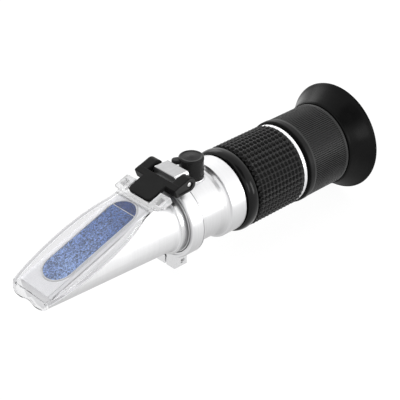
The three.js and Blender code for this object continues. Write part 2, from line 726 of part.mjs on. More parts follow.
function eyepieceTube() {
  const flange = GUIDE_R - 0.1;
  const body = turned([
    [CELL_FRONT, CELL_BORE - 1],
    [CELL_FRONT, CELL_R],
    [CELL_SHOULDER, CELL_R],
    [CELL_SHOULDER, flange],
    [CELL_REAR, flange],
    [CELL_REAR, CELL_BORE],
    [CELL_STOP, CELL_BORE],
    [CELL_STOP, CELL_BORE - 1],
  ], COARSE);
  return cut(body, rodUp(KEY_X, 0, CELL_BORE - 0.5, CELL_R + 0.5, KEY_R - 0.2 + GAP, 16));
}

function focusKey() {
  const shank = KEY_R - 0.2;
  const shoulder = CELL_R + GAP;
  const top = GUIDE_R + GAP + 0.6;
  return turnedUp(KEY_X, [
    [CELL_BORE + GAP, 0],
    [CELL_BORE + GAP, shank],
    [shoulder, shank],
    [shoulder, KEY_R],
    [top, KEY_R],
    [top, 0],
  ], 16);
}

// A lens with a flat face and a domed one; the dome faces the direction of dome.
function planoLens(flatX, dome) {
  const profile = [[flatX, 0], [flatX, LENS_R]];
  for (const f of [1, 0.7, 0.35, 0]) {
    profile.push([flatX + dome * (LENS_EDGE + LENS_SAG * (1 - f * f)), LENS_R * f]);
  }
  return turned(profile, COARSE);
}

add(instrument, 'eyepiece_tube', eyepieceTube(), darkAluminium());
add(instrument, 'focus_key', focusKey(), steel());
add(instrument, 'field_lens', planoLens(FIELD_LENS_X, 1), clearGlass());
add(instrument, 'lens_spacer', tube(SPACER_FRONT, SPACER_REAR, LENS_R, LENS_R - 1, COARSE), darkAluminium());
add(instrument, 'eye_lens', planoLens(EYE_LENS_X, -1), clearGlass());
const eyeRetainer = tube(EYE_LENS_X + 0.4, CELL_REAR - 0.2, LENS_R, LENS_R - 1.6, COARSE);
add(instrument, 'eyepiece_retainer', eyeRetainer, darkAluminium());

export default refractometer;
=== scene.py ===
"""Hand-held refractometer: the visual model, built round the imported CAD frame.

Shapes are worked out in millimetres from the centre of the eyecup's rim: x along the
optical axis towards the eye, y across, z up. Deck coordinates lie in the inclined plane
of the prism: s up the slope, v across, w out of the plane.
"""
import json
import math
import bmesh
import bpy
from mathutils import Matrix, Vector


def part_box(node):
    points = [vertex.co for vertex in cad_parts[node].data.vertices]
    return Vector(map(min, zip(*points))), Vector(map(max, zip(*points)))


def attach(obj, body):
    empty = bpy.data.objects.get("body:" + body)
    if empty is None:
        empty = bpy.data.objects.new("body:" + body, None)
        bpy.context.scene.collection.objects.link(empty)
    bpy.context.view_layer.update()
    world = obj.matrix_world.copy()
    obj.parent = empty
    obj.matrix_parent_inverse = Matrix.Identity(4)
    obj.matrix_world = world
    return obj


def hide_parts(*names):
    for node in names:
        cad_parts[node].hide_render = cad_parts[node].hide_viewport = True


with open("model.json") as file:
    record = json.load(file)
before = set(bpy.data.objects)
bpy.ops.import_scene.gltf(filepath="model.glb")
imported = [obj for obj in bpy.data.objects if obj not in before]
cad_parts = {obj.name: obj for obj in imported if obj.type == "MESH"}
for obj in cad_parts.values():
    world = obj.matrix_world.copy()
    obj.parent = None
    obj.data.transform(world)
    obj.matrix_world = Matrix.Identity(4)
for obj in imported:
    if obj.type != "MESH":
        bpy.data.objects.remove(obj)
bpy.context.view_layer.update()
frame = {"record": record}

MM = 0.001
TAU = 2 * math.pi
FULL = 160          # segments round a large turned surface
INNER = 128         # segments round a surface inside the tube
MEDIUM = 96         # segments round the cap and the clamp ring
SMALL = 64          # segments round a small turned surface
TINY = 48           # segments round a pin or a screw

# ---------------- places from the CAD

cup_lo, cup_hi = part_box("eyecup")
AXIS_X = cup_hi.x
AXIS_Z = (cup_lo.z + cup_hi.z) / 2


def local(point):
    return Vector(((point[0] - AXIS_X) / MM, point[1] / MM, (point[2] - AXIS_Z) / MM))


def span(node):
    low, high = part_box(node)
    return local(low), local(high)


def stations(node):
    """Where a turned part starts and ends along the optical axis, and its outer radius."""
    low, high = span(node)
    return low.x, high.x, high.y


def middle_of(node):
    low, high = span(node)
    return (low.x + high.x) / 2, (low.z + high.z) / 2


JOINTS = {j["name"]: j for j in frame["record"]["behaviour"]["joints"]}
PIN = local(JOINTS["cover_hinge"]["pos_m"])
SCREW = local(JOINTS["adjuster_turn"]["pos_m"])

SLOPE = math.radians(19.1)
COS, SIN = math.cos(SLOPE), math.sin(SLOPE)
PRISM_DEPTH = 6
_, prism_hi = span("measuring_prism")
PRISM_HALF = prism_hi.y
DECK_X = prism_hi.x - PRISM_HALF * COS - PRISM_DEPTH * SIN
DECK_Z = prism_hi.z - PRISM_HALF * SIN
PRISM_REACH = 27.8  # between the centres of the prism's two round ends


def deck(s, v, w):
    return (DECK_X + s * COS - w * SIN, v, DECK_Z + s * SIN + w * COS)


def to_deck(x, z):
    dx, dz = x - DECK_X, z - DECK_Z
    return dx * COS + dz * SIN, dz * COS - dx * SIN


PIN_S, PIN_W = to_deck(PIN.x, PIN.z)

# ---------------- mesh tools


def rounded(points, radius=0.2, steps=3, closed=True):
    """Rounds the corners of a 2-D path. A point's third value is its own radius."""
    out = []
    count = len(points)
    for i, point in enumerate(points):
        own = point[2] if len(point) > 2 else radius
        here = Vector(point[:2])
        if own <= 0 or (not closed and i in (0, count - 1)):
            out.append(tuple(here))
            continue
        back = Vector(points[i - 1][:2]) - here
        ahead = Vector(points[(i + 1) % count][:2]) - here
        reach_back, reach_ahead = back.length, ahead.length
        back.normalize()
        ahead.normalize()
        corner = math.acos(max(-1.0, min(1.0, back.dot(ahead))))
        if corner > math.radians(176) or corner < 1e-3:
            out.append(tuple(here))
            continue
        tangent = min(own / math.tan(corner / 2), 0.47 * reach_back, 0.47 * reach_ahead)
        arc_r = tangent * math.tan(corner / 2)
        centre = here + (back + ahead).normalized() * (arc_r / math.sin(corner / 2))
        start = here + back * tangent - centre
        end = here + ahead * tangent - centre
        sweep = math.atan2(start.x * end.y - start.y * end.x, start.dot(end))
        for k in range(steps + 1):
            angle = sweep * k / steps
            c, s = math.cos(angle), math.sin(angle)
            out.append((centre.x + start.x * c - start.y * s, centre.y + start.x * s + start.y * c))
    return out


def sweep_of(start, angle, steps):
    """Evenly spaced angles over an arc, both ends included."""
    return [start + angle * k / steps for k in range(steps + 1)]


def along_x(station, radius, angle):
    return (station, radius * math.cos(angle), radius * math.sin(angle))


def upright(x):
    return lambda station, radius, angle: (x + radius * math.cos(angle), radius * math.sin(angle), station)


def across(x, z):
    return lambda station, radius, angle: (x + radius * math.cos(angle), station, z + radius * math.sin(angle))


def as_is(x, y, z):
    return (x, y, z)


def end_on(y, z, x):
    return (x, y, z)


def ring_of(bm, points):
    return [bm.verts.new(point) for point in points]


def outward(bm):
    """Turns every face outward, once a solid is closed."""
    bmesh.ops.recalc_face_normals(bm, faces=bm.faces)
    return bm


def skin(bm, rings, close=True):
    """Joins rings of vertices; close joins the last ring to the first."""
    count = len(rings)
    for i in range(count if close else count - 1):
        a, b = rings[i], rings[(i + 1) % count]
        n = max(len(a), len(b))
        for j in range(n):
            k = (j + 1) % n
            quad = []
            for vert in (a[j % len(a)], a[k % len(a)], b[k % len(b)], b[j % len(b)]):
                if vert not in quad:
                    quad.append(vert)
            if len(quad) > 2:
                bm.faces.new(quad)


def lathe(profile, place=along_x, segments=FULL):
    """A solid turned from a closed list of (station, radius)."""
    bm = bmesh.new()
    rings = []
    for station, radius in profile:
        turns = [0.0] if radius < 1e-6 else [TAU * k / segments for k in range(segments)]
        rings.append(ring_of(bm, [place(station, radius, angle) for angle in turns]))
    skin(bm, rings)
    return outward(bm)


def rod(low, high, radius, place, segments=SMALL):
    """A plain cylinder between two stations, used to cut holes and seats."""
    return lathe([(low, 0), (low, radius), (high, radius), (high, 0)], place, segments)


def channel(low, high, inner, outer):
    """A square ring round the optical axis, used to cut grooves."""
    return lathe([(low, inner), (low, outer), (high, outer), (high, inner)])


def inset(loop, amounts):
    """Moves each corner of a counterclockwise loop inward by its own amount."""
    out = []
    count = len(loop)
    for i in range(count):
        here = Vector(loop[i])
        u = (here - Vector(loop[i - 1])).normalized()
        v = (Vector(loop[(i + 1) % count]) - here).normalized()
        normal = Vector((-u.y - v.y, u.x + v.x))
        size = max(normal.length, 1e-6)
        reach = min(2 / size, 2.5)
        out.append(tuple(here + normal * (amounts[i] * reach / size)))
    return out


def both(inner, outer):
    """The same span on either side of the middle."""
    return (-outer, -inner), (inner, outer)


def area_of(loop):
    return sum(loop[i - 1][0] * loop[i][1] - loop[i][0] * loop[i - 1][1] for i in range(len(loop)))


def extrude(outline, low, high, place, holes=(), edge=0.2, steps=3):
    """Extrudes a 2-D outline, with holes, with every rim rounded. edge may be a list."""
    bm = bmesh.new()
    lids = [[], []]
    for index, loop in enumerate([outline, *holes]):
        loop = list(loop)
        if isinstance(edge, list):
            amounts = edge if index == 0 else [min(edge)] * len(loop)
        else:
            amounts = [edge] * len(loop)
        if (area_of(loop) > 0) == (index > 0):
            loop.reverse()
            amounts = amounts[::-1]
        layers = []
        for turn in sweep_of(0, math.pi / 2, steps):
            points = inset(loop, [amount * (1 - math.sin(turn)) for amount in amounts])
            layers.append((points, max(amounts) * (1 - math.cos(turn))))
        rings = [ring_of(bm, [place(*p, low + rise) for p in points]) for points, rise in layers]
        rings += [ring_of(bm, [place(*p, high - rise) for p in points]) for points, rise in reversed(layers)]
        skin(bm, rings, close=False)
        lids[0].append(rings[0])
        lids[1].append(rings[-1])
    for lid in lids:
        if not holes:
            bm.faces.new(lid[0])
            continue
        rims = [bm.edges.get((ring[i - 1], ring[i])) for ring in lid for i in range(len(ring))]
        bmesh.ops.triangle_fill(bm, edges=rims, use_beauty=True)
    return outward(bm)


def loft(loops):
    """A closed solid through 3-D loops of equal length, capped at both ends."""
    bm = bmesh.new()
    rings = [ring_of(bm, loop) for loop in loops]
    skin(bm, rings, close=False)
    bm.faces.new(rings[0])
    bm.faces.new(rings[-1])
    return outward(bm)


def hull(points):
    bm = bmesh.new()
    ring_of(bm, points)
    result = bmesh.ops.convex_hull(bm, input=bm.verts)
    stray = [v for v in result["geom_interior"] if isinstance(v, bmesh.types.BMVert)]
    bmesh.ops.delete(bm, geom=stray, context="VERTS")
    return outward(bm)


def bar(x0, x1, y0, y1, z0, z1, place=as_is, edge=0.2):
    """A block with rounded edges, extruded along its third direction."""
    corner = edge * 1.2
    loop = rounded([(x0, y0), (x1, y0), (x1, y1), (x0, y1)], corner)
    return extrude(loop, z0, z1, place, edge=edge)


def holder(bm, name):
    mesh = bpy.data.meshes.new(name)
    bm.to_mesh(mesh)
    bm.free()
    thing = bpy.data.objects.new(name, mesh)
    bpy.context.scene.collection.objects.link(thing)
    return thing


def cut(bm):
    return "DIFFERENCE", bm


def add(bm):
    return "UNION", bm


def combine(base, *steps):
    """Boolean steps on a bmesh, each made by cut or add."""
    body = holder(base, "work")
    for operation, tool_bm in steps:
        tool = holder(tool_bm, "tool")
        modifier = body.modifiers.new("cut", "BOOLEAN")
        modifier.operation = operation
        modifier.solver = "MANIFOLD"
        modifier.object = tool
        graph = bpy.context.evaluated_depsgraph_get()
        result = bpy.data.meshes.new_from_object(body.evaluated_get(graph))
        body.modifiers.clear()
        body.data = result
        bpy.data.objects.remove(tool, do_unlink=True)
    out = bmesh.new()
    out.from_mesh(body.data)
    bpy.data.objects.remove(body, do_unlink=True)
    bmesh.ops.remove_doubles(out, verts=out.verts, dist=0.002)
    fins = [face for face in out.faces if any(len(edge.link_faces) == 1 for edge in face.edges)]
    bmesh.ops.delete(out, geom=fins, context="FACES")
    wires = [edge for edge in out.edges if not edge.link_faces]
    bmesh.ops.delete(out, geom=wires, context="EDGES")
    return out


def paint(bm, index, test):
    """Gives a material index to the faces whose normal and centre pass a test."""
    bm.normal_update()
    for face in bm.faces:
        if test(face.normal, face.calc_center_median()):
            face.material_index = index


def off_axis(centre):
    return math.hypot(centre.y, centre.z)


def piece(bm, name, body, material, replaced=(), sharp=38, weighted=True, extra=()):
    """Turns a bmesh in millimetres into a finished object that rides on a body."""
    for vert in bm.verts:
        vert.co = Vector((AXIS_X, 0, AXIS_Z)) + vert.co * MM
    thing = holder(bm, name)
    mesh = thing.data
    mesh.shade_smooth()
    mesh.set_sharp_from_angle(angle=math.radians(sharp))
    for finish in (material, *extra):
        mesh.materials.append(finish)
    if weighted:
        modifier = thing.modifiers.new("normals", "WEIGHTED_NORMAL")
        modifier.keep_sharp = True
        modifier.weight = 70
    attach(thing, body)
    if replaced:
        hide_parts(*replaced)
    return thing


# ---------------- materials


class Nodes:
    """Short ways to add nodes to a tree."""

    def __init__(self, tree):
        self.tree = tree

    def node(self, kind, **inputs):
        made = self.tree.nodes.new(kind)
        for key, value in inputs.items():
            self.wire(value, made.inputs[key.replace("_", " ")])
        return made

    def wire(self, value, socket):
        if isinstance(value, bpy.types.NodeSocket):
            self.tree.links.new(value, socket)
        else:
            socket.default_value = value

    def ramp(self, fac, *stops):
        made = self.node("ShaderNodeValToRGB", Fac=fac)
        band = made.color_ramp.elements
        while len(band) < len(stops):
            band.new(0.5)
        for element, (place, colour) in zip(band, stops):
            element.position = place
            element.color = (*colour, 1)
        return made.outputs["Color"]

    def remap(self, value, start, end, low, high, kind="LINEAR"):
        made = self.node("ShaderNodeMapRange", Value=value)
        made.interpolation_type = kind
        for key, given in (("From Min", start), ("From Max", end), ("To Min", low), ("To Max", high)):
            self.wire(given, made.inputs[key])
        return made.outputs["Result"]

    def mix(self, fac, first, second, kind="MIX"):
        made = self.tree.nodes.new("ShaderNodeMix")
        made.data_type = "RGBA"
        made.blend_type = kind
        self.wire(fac, made.inputs[0])
        self.wire(first, made.inputs[6])
        self.wire(second, made.inputs[7])
        return made.outputs[2]


class Finish(Nodes):
    """A Principled material and its procedural nodes. Lengths are in mm."""

    def __init__(self, name, **sockets):
        self.material = bpy.data.materials.new(name)
        self.material.use_nodes = True
        super().__init__(self.material.node_tree)
        self.shader = self.tree.nodes["Principled BSDF"]
        self.set(**sockets)
        self.normal = None

    def coords(self, stretch=(1, 1, 1)):
        place = self.node("ShaderNodeTexCoord").outputs["Object"]
        scale = [axis / MM for axis in stretch]
        return self.node("ShaderNodeMapping", Vector=place, Scale=scale).outputs["Vector"]

    def noise(self, size, detail=3.0, rough=0.5, stretch=(1, 1, 1)):
        made = self.node("ShaderNodeTexNoise", Vector=self.coords(stretch), Scale=1 / size,
                         Detail=detail, Roughness=rough)
        return made.outputs["Fac"]

    def cells(self, size):
        return self.node("ShaderNodeTexVoronoi", Vector=self.coords(), Scale=1 / size).outputs["Color"]

    def spread(self, noise, low, high):
        """Spreads the usual range of a noise over low to high."""
        return self.remap(noise, 0.3, 0.7, low, high)

    def level(self, fac, low, high):
        return self.remap(fac, 0.0, 1.0, low, high)

    def step(self, value, place, width):
        """0 below a place, 1 above it."""
        return self.remap(value, place - width, place + width, 0.0, 1.0, "SMOOTHSTEP")

    def axis(self, letter):
        """Distance along one axis of the whole instrument, in mm."""
        return self.node("ShaderNodeSeparateXYZ", Vector=self.coords()).outputs[letter]

    def upward(self):
        """How far a face points up, from -1 to 1."""
        normal = self.node("ShaderNodeNewGeometry").outputs["Normal"]
        return self.node("ShaderNodeSeparateXYZ", Vector=normal).outputs["Z"]

    def set(self, **values):
        for key, value in values.items():
            self.wire(value, self.shader.inputs[key.replace("_", " ")])

    def bump(self, height, strength, depth):
        made = self.node("ShaderNodeBump", Height=height, Strength=strength, Distance=depth * MM)
        if self.normal is not None:
            self.tree.links.new(self.normal, made.inputs["Normal"])
        self.normal = made.outputs["Normal"]
        self.tree.links.new(self.normal, self.shader.inputs["Normal"])


def grey(level, tint=0.0):
    return (level, level, level * (1 + tint))


def make_aluminium(name, turned=True, low=0.30, high=0.40, base=0.78, lines=0.2, under=0.55):
    """Fine-turned or milled aluminium, with painted shade: the base colour is darker where it faces down."""
    made = Finish(name, Metallic=1.0)
    streak = (5, 0.02, 0.02) if turned else (0.3, 4, 0.3)
    fine = made.noise(1.0, 4.0, stretch=streak)
    cloud = made.noise(9.0, 2.0)
    tone = made.ramp(fine, (0.3, grey(base - 0.03, 0.012)), (0.7, grey(base + 0.02, 0.008)))
    # painted shade: the base colour is multiplied darker on faces pointing down, standing in for the shade
    # beneath
    painted_underside_shade = made.level(made.step(made.upward(), -0.35, 0.6), under, 1.0)
    made.set(Base_Color=made.mix(1.0, tone, painted_underside_shade, "MULTIPLY"))
    made.set(Roughness=made.spread(cloud, low, high))
    made.bump(fine, lines, 0.012)
    return made.material


def make_black(name, tone, low, high, grain=0.12, depth=0.02, specular=0.12, under=None):
    """Black rubber or plastic, rougher where it faces down if under is given."""
    made = Finish(name, Specular_IOR_Level=specular)
    speck = made.noise(grain, 4.0)
    cloud = made.noise(6.0)
    rough = made.spread(cloud, low, high)
    if under:
        rough = made.level(made.step(made.upward(), -0.2, 0.3), under, rough)
    colour = made.ramp(cloud, (0.3, grey(tone * 0.8)), (0.7, grey(tone * 1.25)))
    made.set(Base_Color=colour, Roughness=rough)
    made.bump(speck, 0.5, depth)
    return made.material


def make_metal(name, low_tone, high_tone, low=0.25, high=0.4):
    made = Finish(name, Metallic=1.0)
    scratch = made.noise(0.6, 4.0, stretch=(3, 0.4, 3))
    made.set(Base_Color=made.ramp(scratch, (0.3, low_tone), (0.7, high_tone)))
    made.set(Roughness=made.spread(made.noise(1.5), low, high))
    made.bump(scratch, 0.25, 0.01)
    return made.material


def make_prism(name, front, rear, contrast, speckle):
    """Ground blue glass: a fine dark and light grain whose colour deepens up the slope."""
    made = Finish(name, Metallic=1.0, Roughness=0.4)
    cell = made.node("ShaderNodeSeparateColor", Color=made.cells(0.45)).outputs["Red"]
    grain = made.noise(0.6, 2.0, 0.7)
    tones = made.mix(0.5, made.spread(grain, 0.0, 1.0), cell)
    slope = made.step(made.axis("X"), PRISM_MID_X, 15)
    patch = made.spread(made.noise(9.0, 2.0), -0.25, 0.25)
    total = made.node("ShaderNodeMath", Value=slope)
    made.wire(patch, total.inputs[1])
    base = made.mix(total.outputs["Value"], (*front, 1), (*rear, 1))
    face = made.ramp(tones, (0.2, grey(1 - contrast)), (0.5, grey(0.75)), (0.8, (1.5, 1.5, 1.5)))
    lift = made.mix(1.0, base, face, "MULTIPLY")
    made.set(Base_Color=lift, Roughness=made.spread(grain, 0.3, 0.45))
    made.bump(grain, speckle, 0.03)
    return made.material


def make_clear(name, colour, rough, haze):
    made = Finish(name, Transmission_Weight=1.0, IOR=1.47, Base_Color=(*colour, 1))
    frost = made.noise(1.2)
    made.set(Roughness=made.spread(frost, rough, haze))
    made.bump(made.noise(3.0), 0.08, 0.02)
    return made.material


def make_acrylic(name):
    """Clear acrylic that greys where light runs far inside it and is cloudy at the hinge end."""
    made = Finish(name, Transmission_Weight=1.0, IOR=1.47, Specular_IOR_Level=0.12)
    haze = made.noise(2.0, 2.0)
    made.set(Base_Color=made.ramp(haze, (0.3, (0.985, 0.986, 0.99)), (0.7, (0.995, 0.995, 0.998))))
    made.set(Roughness=made.spread(haze, 0.0, 0.004))
    cloudy = made.step(made.axis("X"), CLOUDY_X, 0.4)
    made.set(Transmission_Weight=made.level(cloudy, 1.0, 0.62))
    depth = made.node("ShaderNodeVolumeAbsorption", Color=(0.2, 0.2, 0.23, 1), Density=265.0)
    output = made.tree.nodes["Material Output"]
    made.tree.links.new(depth.outputs["Volume"], output.inputs["Volume"])
    return made.material


def make_sealant(name):
    made = Finish(name, Metallic=0.8)
    made.set(Base_Color=made.ramp(made.noise(1.5), (0.3, (0.96, 0.96, 0.97)), (0.7, (0.99, 0.99, 0.99))))
    made.set(Roughness=made.spread(made.noise(0.8), 0.4, 0.6))
    made.bump(made.noise(0.5), 0.3, 0.03)
    return made.material


PRISM_MID_X = AXIS_X / MM + DECK_X - 12
CLOUDY_X = AXIS_X / MM + deck(5.9, 0, 0)[0]

aluminium = make_aluminium("turned_aluminium", base=0.685)
nose_metal = make_aluminium("satin_aluminium", low=0.34, high=0.42, lines=0.06)
# painted light: the deck's milled aluminium has a lighter base colour than the nose, making up for light the
# plate absorbs
painted_light_deck_metal = make_aluminium("ground_aluminium_painted_light", turned=False, low=0.34, high=0.42, base=0.97, lines=0.1)
# painted shade: the collar's aluminium has a darker base colour than the nose; its finer turning and gloss are
# its own finish
painted_shade_collar_metal = make_aluminium("collar_aluminium_painted_shade", low=0.2, high=0.28, base=0.66, lines=0.5)
# painted shade: the hinge block's aluminium has a far darker base colour than the rest, for the shade and the
# black lever's reflection round its slot
painted_shade_block_metal = make_aluminium("milled_aluminium_painted_shade", turned=False, low=0.36, high=0.46, base=0.39)
clamp_metal = make_aluminium("clamp_aluminium", low=0.24, high=0.34, base=0.7, lines=0.5)
# the trim band's own bright aluminium, also put on the hinge block's rounded top edges as a painted highlight
trim_and_highlight_metal = make_aluminium("trim_and_painted_highlight_aluminium", low=0.2, high=0.28, base=0.84)
anodised = make_black("black_anodised", 0.02, 0.4, 0.5)
steel = make_metal("bright_steel", grey(0.55), grey(0.68))
brass = make_metal("turned_brass", (0.62, 0.42, 0.15), (0.76, 0.56, 0.25))
eyecup_rubber = make_black("eyecup_rubber", 0.003, 0.22, 0.32, depth=0.006, specular=0.07, under=0.6)
grip_rubber = make_black("grip_rubber", 0.008, 0.3, 0.4, depth=0.006, specular=0.27)
# painted shade: a darker, less glossy copy of the grip rubber for the pockets between the ridges
painted_shade_pocket_rubber = make_black("grip_pocket_rubber_painted_shade", 0.003, 0.34, 0.44, depth=0.006, specular=0.1)
bead_rubber = make_black("bead_rubber", 0.003, 0.1, 0.16, depth=0.002, specular=0.16)
ring_plastic = make_black("focus_plastic", 0.015, 0.36, 0.46, depth=0.008, specular=0.26)
# painted shade: a darker, less glossy copy of the focus plastic for the recessed front band
painted_shade_band_plastic = make_black("focus_band_plastic_painted_shade", 0.007, 0.36, 0.46, depth=0.008, specular=0.13)
lever_plastic = make_black("lever_plastic", 0.005, 0.34, 0.44, depth=0.008, specular=0.07)
# painted light: a lighter copy of the lever plastic for the panels in the arms' outer sides, which face the
# light
arm_plastic_painted_light = make_black("arm_plastic_painted_light", 0.02, 0.4, 0.5, depth=0.008, specular=0.16)
cap_rubber = make_black("cap_rubber", 0.01, 0.2, 0.28, depth=0.005, specular=0.1)
inner_black = make_black("light_trap_black", 0.01, 0.7, 0.85)
sealant = make_sealant("white_sealant")
prism_face = make_prism("prism_face", (0.31, 0.45, 0.82), (0.07, 0.16, 0.44), 0.85, 0.1)
prism_end = make_prism("prism_end", (0.01, 0.055, 0.24), (0.01, 0.05, 0.22), 0.4, 0.1)
acrylic = make_acrylic("clear_acrylic")
glass = make_clear("lens_glass", (0.97, 0.985, 1.0), 0.0, 0.02)

# ---------------- nose, prism and gasket

GASKET_OUT = 0.7
GASKET_DEPTH = 0.9
FACE_LOW, FACE_HIGH = -2.5, 0.02    # of the prism's glass, out of the deck's plane


def stadium(half, steps=24):
    """The prism's outline: two half circles joined by straight sides."""
    ends = ((0, -math.pi / 2), (-PRISM_REACH, math.pi / 2))
    return [(centre + half * math.cos(a), half * math.sin(a))
            for centre, start in ends for a in sweep_of(start, math.pi, steps)]


def spine(s):
    """The station of the prism's centre line nearest to s."""
    return max(-PRISM_REACH, min(0.0, s))


def ring_points(x, radius, drop=0.0, count=120):
    return [(x, radius * math.cos(TAU * k / count), radius * math.sin(TAU * k / count) - drop)
            for k in range(count)]


PLATEAU_HALF = 6.85 # of the flat deck; its flanks fall away outside
COLLAR_X = -92.4    # the collar starts behind this station
COLLAR_R = 12.2
NOSE_RINGS = ((-91.0, 11.0), (-118, 10.1), (-139, 9.5))
TIP_R = 7.85        # of the flat at the tip
TIP_SWELL = 0.95    # how much wider the shell is behind the rounded edge
TIP_ROUND = 1.1
TIP_DROP = 0.5
HEEL_S, HEEL_V = 8.5, 8    # the deck's rear corners
HEEL_BALL = 1.6     # radius of those corners
SLACK = 0.05        # between the prism or its gasket and the recess round it


def build_nose():
    front, _, _ = stations("prism_housing")
    points = []
    for x, radius in NOSE_RINGS:
        points += ring_points(x, radius)
    for turn in sweep_of(0, math.pi / 2, 5):
        x = front + TIP_ROUND * (1 - math.sin(turn))
        points += ring_points(x, TIP_R + TIP_SWELL * math.cos(turn), TIP_DROP * (1 + math.sin(turn)))
    ball = HEEL_BALL
    corner_s, corner_v = HEEL_S - ball, HEEL_V - ball
    for side in (-1, 1):
        for up in sweep_of(-math.pi / 2, math.pi, 8):
            for turn in sweep_of(0, TAU, 16)[:-1]:
                points.append(deck(corner_s + ball * math.cos(up) * math.cos(turn),
                                   side * corner_v + ball * math.cos(up) * math.sin(turn),
                                   -ball + ball * math.sin(up)))
    body = hull(points)
    above = extrude([(-70, -30), (40, -30), (40, 30), (-70, 30)], 0, 60, deck, edge=0)
    recess = extrude(stadium(PRISM_HALF + GASKET_OUT + SLACK), -GASKET_DEPTH - 0.1, 2, deck, edge=0)
    pocket = extrude(stadium(PRISM_HALF + SLACK), FACE_LOW - 0.5, 2, deck, edge=0)
    base_r = 9
    flank = rounded([(PLATEAU_HALF, 3, 0), (PLATEAU_HALF, -0.15, 0.05), (8.5, -0.25, 0.8), (9.4, -1.8, 3),
                     (10.4, -7, 0), (20, -7, 0), (20, 3, 0)], 0, 6)
    flanks = []
    for side in (-1, 1):
        loop = [(side * v, w) for v, w in flank]
        flanks.append(cut(extrude(loop, -60, 9, lambda v, w, s: deck(s, v, w), edge=0)))
    collar = lathe(rounded([
        (-95, base_r, 0), (-95, 10.6, 0), (-93.4, 10.98, 1.0), (-92.5, 11.3, 0.6), (-92.15, COLLAR_R, 0.35),
        (-89.62, COLLAR_R, 0.2), (-89.62, base_r, 0),
    ], 0.2, 4))
    nose = combine(body, cut(above), *flanks, add(collar), cut(recess), cut(pocket))
    up = Vector((-SIN, 0, COS))
    # painted light: the deck's flat faces take the lighter deck aluminium
    paint(nose, 1, lambda normal, centre: normal.dot(up) > 0.98)
    # painted shade: the collar's faces take the darker collar aluminium
    paint(nose, 2, lambda normal, centre: centre.x > COLLAR_X and off_axis(centre) > COLLAR_R - 0.8)
    return nose


piece(build_nose(), "nose_shell", "main_body", nose_metal, ["prism_housing"], sharp=30,
      extra=[painted_light_deck_metal, painted_shade_collar_metal])

LINE_S = 1.9        # the joint between the prism's two parts
LINE_HALF = 0.15


def split_stadium(low_s, high_s, half):
    """The part of the prism's outline between two stations on the slope."""
    out = []
    for at, v in stadium(half):
        s = min(max(at, low_s), high_s)
        reach = math.sqrt(max(half * half - (s - spine(s)) ** 2, 0))
        point = (s, math.copysign(min(abs(v), reach) if s not in (low_s, high_s) else reach, v))
        if not out or (Vector(point) - Vector(out[-1])).length > 0.02:
            out.append(point)
    if (Vector(out[0]) - Vector(out[-1])).length < 0.02:
        out.pop()
    return out


main_face = extrude(split_stadium(-99, LINE_S - LINE_HALF, PRISM_HALF), FACE_LOW, FACE_HIGH, deck, edge=0.1)
piece(main_face, "prism_main_face", "main_body", prism_face, ["measuring_prism"])
end_face = extrude(split_stadium(LINE_S + LINE_HALF, 99, PRISM_HALF), FACE_LOW, FACE_HIGH, deck, edge=0.1)
piece(end_face, "prism_end_face", "main_body", prism_end, ["measuring_prism"])
line_half_v = math.sqrt(PRISM_HALF ** 2 - LINE_S ** 2)
line_bar = bar(LINE_S - LINE_HALF + 0.02, LINE_S + LINE_HALF - 0.02, -line_half_v, line_half_v,
               FACE_LOW + 0.1, FACE_HIGH + 0.01, deck, 0.05)
piece(line_bar, "prism_joint_line", "main_body", sealant, ["measuring_prism"])


def build_gasket():
    """A rounded bead swept round the prism."""
    half, crown = GASKET_OUT / 2, 0.16
    profile = [(half - half * math.cos(angle), FACE_HIGH + crown * math.sin(angle))
               for angle in sweep_of(0, math.pi, 8)]
    profile += [(GASKET_OUT, -GASKET_DEPTH), (0.0, -GASKET_DEPTH)]
    bm = bmesh.new()
    rings = []
    for out, w in profile:
        reach = PRISM_HALF + out
        rings.append(ring_of(bm, [deck(spine(s) + (s - spine(s)) * reach, v * reach, w)
                                  for s, v in stadium(1.0)]))
    skin(bm, rings)
    bmesh.ops.remove_doubles(bm, verts=bm.verts, dist=0.001)
    return outward(bm)


piece(build_gasket(), "prism_bead", "main_body", sealant, ["prism_gasket"])

# ---------------- clamp ring and its screw


def build_clamp():
    x0, x1, outer = stations("clamp_ring")
    base = span("clamp_ring")[0].z
    half, inner, ear_top = 4.85, 12.85, -14.5
    slot_half, slot_top, relief = 0.3, -15.2, 0.6
    steps = MEDIUM
    loop, edges = [], []

    def put(y, z, edge):
        loop.append((y, z))
        edges.append(edge)

    start = math.asin(half / outer)
    for k, angle in enumerate(sweep_of(start - math.pi / 2, TAU - 2 * start, steps)):
        put(outer * math.cos(angle), outer * math.sin(angle), 0.55 if 3 < k < steps - 3 else 0.2)
    soft = rounded([(-half, ear_top), (-half, base), (-slot_half, base), (-slot_half, slot_top - relief + 0.1)],
                   0.35, 3, closed=False)
    for y, z in soft:
        put(y, z, 0.14)
    for k in range(1, 12):
        angle = math.radians(240) - math.radians(300) * k / 12
        put(relief * math.cos(angle), slot_top + relief * math.sin(angle), 0.1)
    for y, z in [(-y, z) for y, z in reversed(soft)]:
        put(y, z, 0.14)
    bore = [(inner * math.cos(TAU * k / steps), inner * math.sin(TAU * k / steps)) for k in range(steps)]
    bm = extrude(loop, x0, x1, end_on, [bore], edges, 4)
    screw_bore = 1.05
    hole = rod(-half - 1, half + 1, screw_bore, across(*middle_of("clamp_screw")))
    step = channel(x0 - 1, x0 + 0.35, inner - 1, inner + 0.75)
    line = channel(x1 - 1.0, x1 - 0.65, outer - 0.3, outer + 1)
    return combine(bm, cut(hole), cut(step), cut(line))


piece(build_clamp(), "clamp_band", "main_body", clamp_metal, ["clamp_ring"], sharp=32)


